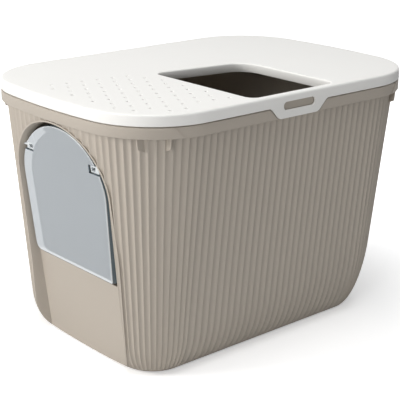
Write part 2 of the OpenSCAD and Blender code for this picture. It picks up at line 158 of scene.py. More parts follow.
# Tub wall
# The tub is one injection moulding in taupe plastic: a tapered box with big rounded corners. Its
# outside is fluted all round, and the flutes run out where the wall turns into the flat floor.
LID_L, LID_W, HEIGHT = 0.585, 0.408, 0.398
LID_R, BOW_R = 0.117, 1.0
SKIRT_Z, LEDGE_Z, COLLAR_Z = 0.382, 0.3805, 0.3645
WALL_INSET, END_DRAFT, SIDE_DRAFT = 0.0085, 0.098, 0.089
BASE_R = 0.071
TURN_IN_DOOR, TURN_H_DOOR, TURN_IN_FAR, TURN_H_FAR = 0.027, 0.050, 0.035, 0.120
FLUTE_DEPTH, TUB_WALL, FLOOR_T = 0.0022, 0.0024, 0.003
FLUTES_END, FLUTES_CORNER, FLUTES_LONG = 14, 14, 28
TAUPE = (0.456, 0.405, 0.345, 1)


def spot(a, b, r, seg, t):
    """A place on a rounded outline with straight sides and bowed ends: x, y and the outward normal.
    The eight stretches run anticlockwise from the far end: end, corner, long side, corner, twice."""
    bow = math.asin((b - r) / (BOW_R - r))
    cx = a - BOW_R + math.sqrt((BOW_R - r) ** 2 - (b - r) ** 2)
    cy = b - r
    part, flip = seg % 4, -1 if seg >= 4 else 1
    if part == 0:
        g = -bow + 2 * bow * t
        x, y = a - BOW_R + BOW_R * math.cos(g), BOW_R * math.sin(g)
    elif part == 1:
        g = bow + (math.pi / 2 - bow) * t
        x, y = cx + r * math.cos(g), cy + r * math.sin(g)
    elif part == 2:
        g = math.pi / 2
        x, y = cx - 2 * cx * t, b
    else:
        g = math.pi / 2 + (math.pi / 2 - bow) * t
        x, y = -cx + r * math.cos(g), cy + r * math.sin(g)
    return flip * x, flip * y, flip * math.cos(g), flip * math.sin(g)


def run_round(end, corner, side, parts=(0,)):
    """Stretch and share of every point of a ring, with so many steps to each kind of stretch."""
    return [(seg, (k + u) / n) for seg in range(8) for n in ((end, corner, side, corner)[seg % 4],)
            for k in range(n) for u in parts]


def wall_size(z):
    """Half length, half width and corner radius of the wall's outline at a height."""
    top_l, top_w, top_r = LID_L / 2 - WALL_INSET, LID_W / 2 - WALL_INSET, LID_R - WALL_INSET
    return (top_l - END_DRAFT * (COLLAR_Z - z), top_w - SIDE_DRAFT * (COLLAR_Z - z),
            BASE_R + (top_r - BASE_R) * z / COLLAR_Z)


def wall_ring(climb, inset, run, low=0.0):
    """A ring of the wall, moved in by an inset, and its inward normals. climb goes from 0 on the
    ground to 1 where the turn ends and 2 at the top; the turn grows from the door to the far end."""
    points, inward = [], []
    for seg, t in run:
        far = 0.5 + spot(LID_L / 2, LID_W / 2, LID_R, seg, t)[0] / LID_L
        turn_w = TURN_IN_DOOR + (TURN_IN_FAR - TURN_IN_DOOR) * far
        turn_h = TURN_H_DOOR + (TURN_H_FAR - TURN_H_DOOR) * far
        if climb <= 1:
            z = low + climb * (turn_h - low)
        else:
            z = turn_h + (climb - 1) * (LEDGE_Z - 0.001 - turn_h)
        turned = 1 - math.sqrt(max(1 - (1 - min(climb, 1)) ** 2, 0))
        d = inset + (turn_w - (inset if low else 0)) * turned
        x, y, nx, ny = spot(*wall_size(z), seg, t)
        points.append((x - d * nx, y - d * ny, z))
        inward.append((-nx, -ny, 0))
    return np.array(points), np.array(inward)


def lid_ring(inset, z, run):
    a, b, r = LID_L / 2 - inset, LID_W / 2 - inset, LID_R - inset
    return np.array([spot(a, b, r, seg, t)[:2] + (z,) for seg, t in run])


def mesh_object(name, points, faces, material=None):
    made = bpy.data.meshes.new(name)
    made.from_pydata([tuple(p) for p in points], [], faces)
    made.validate()
    if material:
        made.materials.append(material)
    item = bpy.data.objects.new(name, made)
    bpy.context.collection.objects.link(item)
    return item


def face_outwards(item):
    b = bmesh.new()
    b.from_mesh(item.data)
    bmesh.ops.remove_doubles(b, verts=b.verts, dist=1e-6)
    bmesh.ops.recalc_face_normals(b, faces=b.faces)
    b.to_mesh(item.data)
    b.free()
    item.data.update()


def loft(name, rings, material=None, closed=False):
    """A solid through rings of equal length. closed joins the last ring to the first, as a hoop."""
    n, m = len(rings[0]), len(rings)
    faces = []
    for j in range(m if closed else m - 1):
        k = (j + 1) % m
        faces += [(j * n + i, j * n + (i + 1) % n, k * n + (i + 1) % n, k * n + i) for i in range(n)]
    if not closed:
        faces += [tuple(range(n))[::-1], tuple(range((m - 1) * n, m * n))]
    item = mesh_object(name, np.vstack(rings), faces, material)
    face_outwards(item)
    return item


def settled(item):
    """The object with its modifiers turned into a plain mesh."""
    bpy.context.view_layer.update()
    done = bpy.data.meshes.new_from_object(item.evaluated_get(bpy.context.evaluated_depsgraph_get()))
    item.modifiers.clear()
    old = item.data
    item.data = done
    bpy.data.meshes.remove(old)
    return item


def carve(item, tool, operation="DIFFERENCE"):
    step = item.modifiers.new(operation.lower(), "BOOLEAN")
    step.operation, step.solver, step.object = operation, "EXACT", tool
    settled(item)
    bpy.data.objects.remove(tool)
    return item


def crease(item, degrees):
    """Smooth shading, with edges sharper than the angle left crisp."""
    item.data.shade_smooth()
    item.data.set_sharp_from_angle(angle=math.radians(degrees))


# The flutes are cut by a Geometry Nodes tree: each point knows its place along the run of flutes,
# and is pushed in by the scallop's depth there.
def flute_tree():
    tree = bpy.data.node_groups.new("Cut flutes", "GeometryNodeTree")
    face = tree.interface
    face.new_socket("Wall", in_out="INPUT", socket_type="NodeSocketGeometry")
    depth = face.new_socket("Flute Depth", in_out="INPUT", socket_type="NodeSocketFloat")
    crest = face.new_socket("Crest Share", in_out="INPUT", socket_type="NodeSocketFloat")
    paint = face.new_socket("Material", in_out="INPUT", socket_type="NodeSocketMaterial")
    face.new_socket("Wall", in_out="OUTPUT", socket_type="NodeSocketGeometry")
    start = node(tree, "NodeGroupInput")
    end = node(tree, "NodeGroupOutput")
    along = node(tree, "GeometryNodeInputNamedAttribute", data_type="FLOAT")
    along.inputs["Name"].default_value = "flute"
    fade = node(tree, "GeometryNodeInputNamedAttribute", data_type="FLOAT")
    fade.inputs["Name"].default_value = "fade"
    inward = node(tree, "GeometryNodeInputNamedAttribute", data_type="FLOAT_VECTOR")
    inward.inputs["Name"].default_value = "inward"

    def calc(operation, first, second=None):
        made = node(tree, "ShaderNodeMath", operation=operation)
        for k, value in enumerate((first, second)):
            if value is None:
                continue
            if isinstance(value, (int, float)):
                made.inputs[k].default_value = value
            else:
                tree.links.new(value, made.inputs[k])
        return made.outputs[0]

    u = calc("FRACT", along.outputs["Attribute"])
    bowl = calc("MULTIPLY", calc("MULTIPLY", u, calc("SUBTRACT", 1, u)), 4)
    c = start.outputs["Crest Share"]
    flat = calc("MULTIPLY", calc("MULTIPLY", c, calc("SUBTRACT", 1, c)), 4)
    share = calc("DIVIDE", calc("MAXIMUM", calc("SUBTRACT", bowl, flat), 0), calc("SUBTRACT", 1, flat))
    faded = calc("MULTIPLY", share, fade.outputs["Attribute"])
    reach = calc("MULTIPLY", faded, start.outputs["Flute Depth"])
    push = node(tree, "ShaderNodeVectorMath", operation="SCALE")
    tree.links.new(inward.outputs["Attribute"], push.inputs[0])
    tree.links.new(reach, push.inputs["Scale"])
    move = node(tree, "GeometryNodeSetPosition")
    tree.links.new(start.outputs["Wall"], move.inputs["Geometry"])
    tree.links.new(push.outputs[0], move.inputs["Offset"])
    real = node(tree, "GeometryNodeRealizeInstances")
    coat = node(tree, "GeometryNodeSetMaterial")
    tree.links.new(move.outputs[0], real.inputs[0])
    tree.links.new(real.outputs[0], coat.inputs["Geometry"])
    tree.links.new(start.outputs["Material"], coat.inputs["Material"])
    tree.links.new(coat.outputs[0], end.inputs[0])
    return tree, depth.identifier, crest.identifier, paint.identifier


# Moulded plastic: a very fine grain from the steel of the mould, faint long flow lines, and a
# roughness that wanders a little. One group serves every plastic here.
def moulded_group():
    group = bpy.data.node_groups.new("Moulded plastic", "ShaderNodeTree")
    face = group.interface
    for name, kind, value in (
            ("Colour", "NodeSocketColor", (0.5, 0.5, 0.5, 1)), ("Colour Drift", "NodeSocketFloat", 0.03),
            ("Roughness", "NodeSocketFloat", 0.4), ("Roughness Drift", "NodeSocketFloat", 0.05),
            ("Grain Size", "NodeSocketFloat", 900.0), ("Flow Size", "NodeSocketFloat", 6.0)):
        made = face.new_socket(name, in_out="INPUT", socket_type=kind)
        made.default_value = value
    face.new_socket("Colour", in_out="OUTPUT", socket_type="NodeSocketColor")
    face.new_socket("Roughness", in_out="OUTPUT", socket_type="NodeSocketFloat")
    face.new_socket("Height", in_out="OUTPUT", socket_type="NodeSocketFloat")
    start = node(group, "NodeGroupInput")
    end = node(group, "NodeGroupOutput")
    where = node(group, "ShaderNodeTexCoord")
    stretch = node(group, "ShaderNodeMapping")
    stretch.inputs["Scale"].default_value = (1, 1, 0.35)
    group.links.new(where.outputs["Object"], stretch.inputs["Vector"])
    flow = node(group, "ShaderNodeTexNoise")
    flow.inputs["Detail"].default_value = 3
    group.links.new(stretch.outputs[0], flow.inputs["Vector"])
    group.links.new(start.outputs["Flow Size"], flow.inputs["Scale"])
    grain = node(group, "ShaderNodeTexNoise")
    grain.inputs["Detail"].default_value = 2
    group.links.new(where.outputs["Object"], grain.inputs["Vector"])
    group.links.new(start.outputs["Grain Size"], grain.inputs["Scale"])
    drift = node(group, "ShaderNodeMapRange")
    drift.inputs["From Min"].default_value = 0.3
    drift.inputs["From Max"].default_value = 0.7
    group.links.new(flow.outputs["Fac"], drift.inputs["Value"])
    low = node(group, "ShaderNodeMath", operation="SUBTRACT")
    low.inputs[0].default_value = 1
    group.links.new(start.outputs["Colour Drift"], low.inputs[1])
    group.links.new(low.outputs[0], drift.inputs["To Min"])
    drift.inputs["To Max"].default_value = 1
    tint = node(group, "ShaderNodeMix", data_type="RGBA", blend_type="MULTIPLY")
    tint.inputs["Factor"].default_value = 1
    group.links.new(start.outputs["Colour"], tint.inputs["A"])
    group.links.new(drift.outputs[0], tint.inputs["B"])
    rough_low = node(group, "ShaderNodeMath", operation="SUBTRACT")
    group.links.new(start.outputs["Roughness"], rough_low.inputs[0])
    group.links.new(start.outputs["Roughness Drift"], rough_low.inputs[1])
    rough_high = node(group, "ShaderNodeMath", operation="ADD")
    group.links.new(start.outputs["Roughness"], rough_high.inputs[0])
    group.links.new(start.outputs["Roughness Drift"], rough_high.inputs[1])
    wander = node(group, "ShaderNodeMapRange")
    group.links.new(flow.outputs["Fac"], wander.inputs["Value"])
    group.links.new(rough_low.outputs[0], wander.inputs["To Min"])
    group.links.new(rough_high.outputs[0], wander.inputs["To Max"])
    group.links.new(tint.outputs["Result"], end.inputs["Colour"])
    group.links.new(wander.outputs[0], end.inputs["Roughness"])
    group.links.new(grain.outputs["Fac"], end.inputs["Height"])
    return group


moulded = moulded_group()


def plastic(name, colour, roughness, drift=0.03, grain=0.00004, size=900.0, **sockets):
    made, tree = new_material(name)
    look = node(tree, "ShaderNodeGroup", node_tree=moulded)
    look.inputs["Colour"].default_value = colour
    look.inputs["Colour Drift"].default_value = drift
    look.inputs["Roughness"].default_value = roughness
    look.inputs["Grain Size"].default_value = size
    shader = node(tree, "ShaderNodeBsdfPrincipled")
    for key, value in sockets.items():
        shader.inputs[key.replace("_", " ")].default_value = value
    bump = node(tree, "ShaderNodeBump")
    bump.inputs["Strength"].default_value = 0.35
    bump.inputs["Distance"].default_value = grain
    out = node(tree, "ShaderNodeOutputMaterial")
    tree.links.new(look.outputs["Colour"], shader.inputs["Base Color"])
    tree.links.new(look.outputs["Roughness"], shader.inputs["Roughness"])
    tree.links.new(look.outputs["Height"], bump.inputs["Height"])
    tree.links.new(bump.outputs[0], shader.inputs["Normal"])
    tree.links.new(shader.outputs[0], out.inputs[0])
    return made


taupe_plastic = plastic("Taupe moulded plastic", TAUPE, 0.46)

CREST_SHARE = 0.045
flute_parts = (CREST_SHARE, 0.15, 0.28, 0.42, 0.58, 0.72, 0.85, 1 - CREST_SHARE)


def fluted_wall():
    run = run_round(FLUTES_END, FLUTES_CORNER, FLUTES_LONG, flute_parts)
    phase = np.array([part for _ in range(len(run) // len(flute_parts)) for part in flute_parts])
    climbs = (0, 0.004, 0.015, 0.035, 0.065, 0.10, 0.15, 0.21, 0.28, 0.36, 0.45, 0.55, 0.66, 0.78,
              0.9, 1, 1.2, 1.4, 1.6, 1.8, 1.93, 2)
    points, fade, inward = [], [], []
    for climb in climbs:
        ring, normals = wall_ring(climb, 0, run)
        points.append(ring)
        inward.append(normals)
        level = min(climb / 0.25, 1)
        fade.append(np.full(len(run), level * level * (3 - 2 * level)))
    for climb in (2, 1.75, 1.5, 1.25, 1, 0.8, 0.6, 0.4, 0.25, 0.14, 0.06, 0.02, 0):
        points.append(wall_ring(climb, FLUTE_DEPTH + TUB_WALL, run, FLOOR_T)[0])
    n, m = len(run), len(points)
    faces = []
    for j in range(m - 1):
        faces += [(j * n + i, j * n + (i + 1) % n, (j + 1) * n + (i + 1) % n, (j + 1) * n + i)
                  for i in range(n)]
    faces += [tuple(range(n))[::-1], tuple(range((m - 1) * n, m * n))]
    item = mesh_object("tub_wall", np.vstack(points), faces, taupe_plastic)
    plain = n * (m - len(climbs))
    for name, values in (("flute", np.tile(phase, len(climbs))), ("fade", np.concatenate(fade))):
        data = np.concatenate([values, np.zeros(plain)]).astype(np.float32)
        item.data.attributes.new(name, "FLOAT", "POINT").data.foreach_set("value", data)
    data = np.vstack([np.vstack(inward), np.zeros((plain, 3))]).astype(np.float32)
    item.data.attributes.new("inward", "FLOAT_VECTOR", "POINT").data.foreach_set("vector", data.ravel())
    tree, depth, crest, paint = flute_tree()
    step = item.modifiers.new("flutes", "NODES")
    step.node_group = tree
    step[depth] = FLUTE_DEPTH
    step[crest] = CREST_SHARE
    step[paint] = taupe_plastic
    settled(item)
    for name in ("flute", "fade", "inward"):
        item.data.attributes.remove(item.data.attributes[name])
    face_outwards(item)
    return item


tub_wall = fluted_wall()

# Door end of the tub
# The wall is set back here into a flat, leaning panel under an arch. The arch's sides flare out to
# the fluted wall, and above a sill the panel is open: that is the doorway the flap hangs in.
DOOR_Y = -0.002
FOOT_HALF, SPRING_HALF = 0.094, 0.106
SILL_Z, SPRING_Z, CROWN_Z = 0.1325, 0.264, 0.356
FLARE_FOOT, FLARE_SPRING, FLARE_CROWN = 1.35, 0.45, 0.1
PANEL_X0 = LID_L / 2 - WALL_INSET - END_DRAFT * COLLAR_Z - 0.0205
PANEL_LEAN = 0.1137
PIVOT_Z, PIN_R = 0.3065, 0.002
PIVOT_OUT = 0.0029
BORE_R, BOSS_R = PIN_R + 0.00008, 0.0044
FLARE_REACH, LINING_LOW = 0.030, 0.0012
lean = math.atan(PANEL_LEAN)


def panel_x(z):
    return PANEL_X0 + PANEL_LEAN * z


def arch(out, grow, low, steps=56):
    """The arch as [y, z] places: flared outwards by out, grown by a margin, from a height up."""
    foot = FOOT_HALF + FLARE_FOOT * out + grow
    side = SPRING_HALF + FLARE_SPRING * out + grow
    rise = CROWN_Z - SPRING_Z + FLARE_CROWN * out + grow
    low_half = foot + (side - foot) * low / SPRING_Z
    turns = [math.pi * i / steps for i in range(steps + 1)]
    points = [(side * math.cos(g), SPRING_Z + rise * math.sin(g)) for g in turns]
    points += [(-low_half, low), (low_half, low)]
    return np.array([(DOOR_Y + y, z) for y, z in points])


def on_door(places, out):
    """Places on the door end's plane, at a distance out from the panel's face."""
    return np.array([(-(panel_x(z) + out), y, z) for y, z in places])


def door_solid(name, layers, material=None):
    return loft(name, [on_door(places, out) for out, places in layers], material)


# The lining comes out just past the crests of the flutes, so a smooth lip runs all round the recess.
# Joining it to the wall is delicate: at other values of its reach the wall can come out empty.
LINING_REACH = 0.0004
lining = door_solid("tub_lining", [(-TUB_WALL, arch(0, TUB_WALL, LINING_LOW)),
                                   (FLARE_REACH, arch(FLARE_REACH, TUB_WALL, LINING_LOW))],
                    taupe_plastic)
core = loft("core", [wall_ring(climb, -LINING_REACH, run_round(29, 31, 12))[0] for climb in
                     (0, 0.01, 0.045, 0.11, 0.19, 0.31, 0.5, 0.7, 0.87, 1.01, 1.5, 1.99)])
carve(lining, core, "INTERSECT")
pivot_half = SPRING_HALF * math.sqrt(1 - ((PIVOT_Z - SPRING_Z) / (CROWN_Z - SPRING_Z)) ** 2)
pivot_x = panel_x(PIVOT_Z) + PIVOT_OUT / math.cos(lean)
turn = [2 * math.pi * k / 40 for k in range(40)]


def pivot_ring(y, r):
    """A circle round the pivots' axis at a place across the door."""
    return np.array([(-pivot_x + r * math.cos(g), y, PIVOT_Z + r * math.sin(g)) for g in turn])


for side in (-1, 1):
    boss_at = [DOOR_Y + side * (pivot_half + d) for d in (-0.002, 0.012)]
    carve(lining, loft("boss", [pivot_ring(y, BOSS_R) for y in boss_at]), "UNION")
carve(tub_wall, lining, "UNION")
recess = door_solid("recess", [(0, arch(0, 0, -0.005)), (FLARE_REACH, arch(FLARE_REACH, 0, -0.005))])
carve(tub_wall, recess)
doorway = door_solid("doorway", [(-0.004, arch(0, 0, SILL_Z)), (0.001, arch(0, 0, SILL_Z))])
carve(tub_wall, doorway)
for side in (-1, 1):
    bore_at = [DOOR_Y + side * (pivot_half + d) for d in (-0.005, 0.009)]
    carve(tub_wall, loft("bore", [pivot_ring(y, BORE_R) for y in bore_at]))
crease(tub_wall, 40)
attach(tub_wall, "tub")


# Rim of the tub
# Moulded with the wall: a collar hangs outside it, a ledge faces the lid's skirt, and inside the
# lid an upstand carries it. Small webs stiffen the collar, and each long side has a latch recess.
RIM_T, RIM_INSET, COLLAR_INSET = 0.0025, 0.0035, 0.001
RIM_TOP_Z = HEIGHT - 0.0026 - 0.0003
rim_run = run_round(30, 40, 24)
edge_r = 0.0009
inner = WALL_INSET + FLUTE_DEPTH + TUB_WALL - 0.001 - END_DRAFT * (LEDGE_Z - COLLAR_Z)
rim_profile = ([(COLLAR_INSET + RIM_T, COLLAR_Z)]
               + [(COLLAR_INSET + edge_r - edge_r * math.sin(math.radians(a)),
                   COLLAR_Z + edge_r - edge_r * math.cos(math.radians(a))) for a in (0, 30, 60, 90)]
               + [(COLLAR_INSET + edge_r - edge_r * math.cos(math.radians(a)),
                   LEDGE_Z - edge_r + edge_r * math.sin(math.radians(a))) for a in (0, 30, 60, 90)]
               + [(RIM_INSET, LEDGE_Z), (RIM_INSET, RIM_TOP_Z - 0.0024), (RIM_INSET + 0.0019, RIM_TOP_Z)]
               + [(RIM_INSET + RIM_T, RIM_TOP_Z), (RIM_INSET + RIM_T, LEDGE_Z), (inner, LEDGE_Z),
                  (inner, LEDGE_Z - RIM_T), (COLLAR_INSET + RIM_T, LEDGE_Z - RIM_T)])
tub_rim = loft("tub_rim", [lid_ring(inset, z, rim_run) for inset, z in rim_profile], taupe_plastic,
               closed=True)

TAB_TOP_HALF, TAB_LOW_HALF = 0.060, 0.035
SLOT_HALF, SLOT_H, NOTCH_GAP = 0.0315, 0.012, 0.001


def tab_outline(grow, top, low, steps=20):
    """The latch tab's S-flared outline as [x, z] places, from the skirt down and back up."""
    right = [(TAB_TOP_HALF - (TAB_TOP_HALF - TAB_LOW_HALF) * i / steps + grow,
              top + (low - top) * (1 - math.cos(math.pi * i / steps)) / 2) for i in range(steps + 1)]
    return right + [(-x, z) for x, z in right[::-1]]


def slab(name, outline, y0, y1, material=None):
    """A plate in the XZ plane with [x, z] outline, from y0 to y1."""
    return loft(name, [np.array([(x, y, z) for x, z in outline]) for y in (y0, y1)], material)


def stadium(half, h, steps=16):
    """The finger slot's outline as [x, z] places, with round ends."""
    r = h / 2
    turns = [math.pi * i / steps for i in range(steps + 1)]
    right = [(half - r + r * math.sin(g), SKIRT_Z + r * math.cos(g)) for g in turns]
    return right + [(-x, 2 * SKIRT_Z - z) for x, z in right]


BACKING_HALF, BACKING_TOP = 0.068, LEDGE_Z - 0.001
for side in (-1, 1):
    outer_y = side * LID_W / 2
    backing = slab("backing", [(-BACKING_HALF, COLLAR_Z), (BACKING_HALF, COLLAR_Z),
                               (BACKING_HALF, BACKING_TOP), (-BACKING_HALF, BACKING_TOP)],
                   outer_y - side * RIM_INSET, outer_y - side * (RIM_INSET + RIM_T))
    carve(tub_rim, backing, "UNION")
    notch = slab("notch", tab_outline(NOTCH_GAP, LEDGE_Z + 0.0003, COLLAR_Z - NOTCH_GAP),
                 outer_y - side * RIM_INSET, outer_y + side * 0.005)
    carve(tub_rim, notch)
    pad = slab("pad", stadium(SLOT_HALF - 0.001, SLOT_H - 0.002),
               outer_y - side * (RIM_INSET + 0.001), outer_y - side * (RIM_INSET - 0.00065))
    carve(tub_rim, pad, "UNION")
crease(tub_rim, 35)
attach(tub_rim, "tub")

# The collar is a little prouder round both ends, and this band ends in an S on each long side.
BAND_HALF, BAND_S, BAND_T = 0.200, 0.025, 0.0008
BAND_BACK, BAND_FACE = COLLAR_INSET + 0.001, COLLAR_INSET - BAND_T
band_profile = ((BAND_BACK, COLLAR_Z + 0.0003), (BAND_FACE + 0.0004, COLLAR_Z + 0.0003),
                (BAND_FACE, COLLAR_Z + 0.0009), (BAND_FACE, LEDGE_Z - 0.0011),
                (BAND_FACE + 0.0004, LEDGE_Z - 0.0006), (BAND_BACK, LEDGE_Z - 0.0006))
band = loft("tub_collar_band", [lid_ring(inset, z, rim_run) for inset, z in band_profile],
            taupe_plastic, closed=True)
s_low, s_tall = COLLAR_Z - 0.0005, LEDGE_Z - COLLAR_Z + 0.001
s_edge = [(BAND_HALF + BAND_S * i / 16, s_low + s_tall * (1 - math.cos(math.pi * i / 16)) / 2)
          for i in range(17)]
gap = slab("band_gap", [(-BAND_HALF, COLLAR_Z - 0.002), (BAND_HALF, COLLAR_Z - 0.002)] + s_edge
           + [(-x, z) for x, z in s_edge[::-1]], -LID_W, LID_W)
carve(band, gap)
crease(band, 35)
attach(band, "tub")

WEB_T, WEB_DROP, WEB_DEEP = 0.002, 0.0145, 0.0145
WEB_ALONG_X, WEB_ALONG_Y = (0.258, 0.1608), (0.1905, 0.2225)
webs = []
for end in (-1, 1):
    for side in (-1, 1):
        for reach, off, turned in ((*WEB_ALONG_X, False), (*WEB_ALONG_Y, True)):
            profile = [(reach, LEDGE_Z - 0.001), (reach, COLLAR_Z), (reach - 0.0015, COLLAR_Z - WEB_DROP),
                       (reach - WEB_DEEP + 0.0005, COLLAR_Z - WEB_DROP - WEB_DEEP * 0.4),
                       (reach - WEB_DEEP + 0.003, LEDGE_Z - 0.001)]
            rings = []
            for s in (off - WEB_T / 2, off + WEB_T / 2):
                rings.append(np.array([(end * s, side * p, z) if turned else (end * p, side * s, z)
                                       for p, z in profile]))
            webs.append(loft(f"tub_web_{len(webs)}", rings, taupe_plastic))
for web in webs:
    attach(web, "tub")
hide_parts("tub")

# Lid
# One ivory moulding: a flat top with a short skirt, a rounded entry with a turned-down lip near one
# long side, and a slanting field of small holes that lets litter fall back off a cat's paws.
IVORY = (0.86, 0.85, 0.82, 1)
LID_WALL, LIP_H = 0.0026, 0.014
HOLE_D = 0.005
ENTRY_L, ENTRY_W_DOOR, ENTRY_W_FAR, ENTRY_SHIFT, ENTRY_EDGE = 0.164, 0.214, 0.190, 0.003, 0.014
ENTRY_RADII = (0.014, 0.014, 0.038, 0.014)
ivory_plastic = plastic("Ivory moulded plastic", IVORY, 0.42, drift=0.015)
lid_run = run_round(40, 48, 8)
round_r = 0.0030
lid_profile = ([(LID_WALL + 0.012, HEIGHT - LID_WALL), (LID_WALL + 0.0022, HEIGHT - LID_WALL)]
               + [(LID_WALL + 0.0006, HEIGHT - LID_WALL - 0.0016), (LID_WALL, SKIRT_Z + 0.0004),
                  (LID_WALL - 0.0004, SKIRT_Z)]
               + [(0.0005, SKIRT_Z), (0.0, SKIRT_Z + 0.0005), (0.0002, SKIRT_Z + 0.006)]
               + [(0.0007 + round_r - round_r * math.cos(math.radians(a)),
                   HEIGHT - 0.0002 - round_r + round_r * math.sin(math.radians(a)))
                  for a in range(0, 91, 15)]
               + [(0.0075, HEIGHT)])
lid_shell = loft("lid_shell", [lid_ring(inset, z, lid_run) for inset, z in lid_profile], ivory_plastic)


def rounded_polygon(corners, radii, grow=0.0, steps=10):
    """Rounded polygon [x, y], anticlockwise, moved out by a margin."""
    n = len(corners)
    sides = []
    for i in range(n):
        p, q = np.array(corners[i]), np.array(corners[(i + 1) % n])
        d = (q - p) / np.linalg.norm(q - p)
        out = np.array((d[1], -d[0]))
        sides.append((p + out * grow, d))
    moved = []
    for i in range(n):
        (p, d), (q, e) = sides[i - 1], sides[i]
        t = np.linalg.solve(np.column_stack([d, -e]), q - p)
        moved.append(p + d * t[0])
    points = []
    for i in range(n):
        p, q, s = moved[i - 1], moved[i], moved[(i + 1) % n]
        r = radii[i] + grow
        u, w = (p - q) / np.linalg.norm(p - q), (s - q) / np.linalg.norm(s - q)
        half = math.acos(float(u @ w)) / 2
        mid = (u + w) / np.linalg.norm(u + w)
        c = q + mid * r / math.sin(half)
        aim = math.atan2(-mid[1], -mid[0])
        reach = math.pi / 2 - half
        for k in range(-steps, steps + 1):
            g = aim + reach * k / steps
            points.append(c + r * np.array((math.cos(g), math.sin(g))))
    return np.array(points)


entry_y = ENTRY_EDGE - LID_W / 2
entry_corners = [(ENTRY_SHIFT - ENTRY_L / 2, entry_y), (ENTRY_SHIFT + ENTRY_L / 2, entry_y),
                 (ENTRY_SHIFT + ENTRY_L / 2, entry_y + ENTRY_W_FAR),
                 (ENTRY_SHIFT - ENTRY_L / 2, entry_y + ENTRY_W_DOOR)]


def entry_ring(grow, z):
    p = rounded_polygon(entry_corners, ENTRY_RADII, grow)
    return np.column_stack([p, np.full(len(p), z)])


lip_round = 0.0022
entry_tool = loft("entry_tool", [entry_ring(lip_round, z) for z in (0.37, 0.41)])
carve(lid_shell, entry_tool)


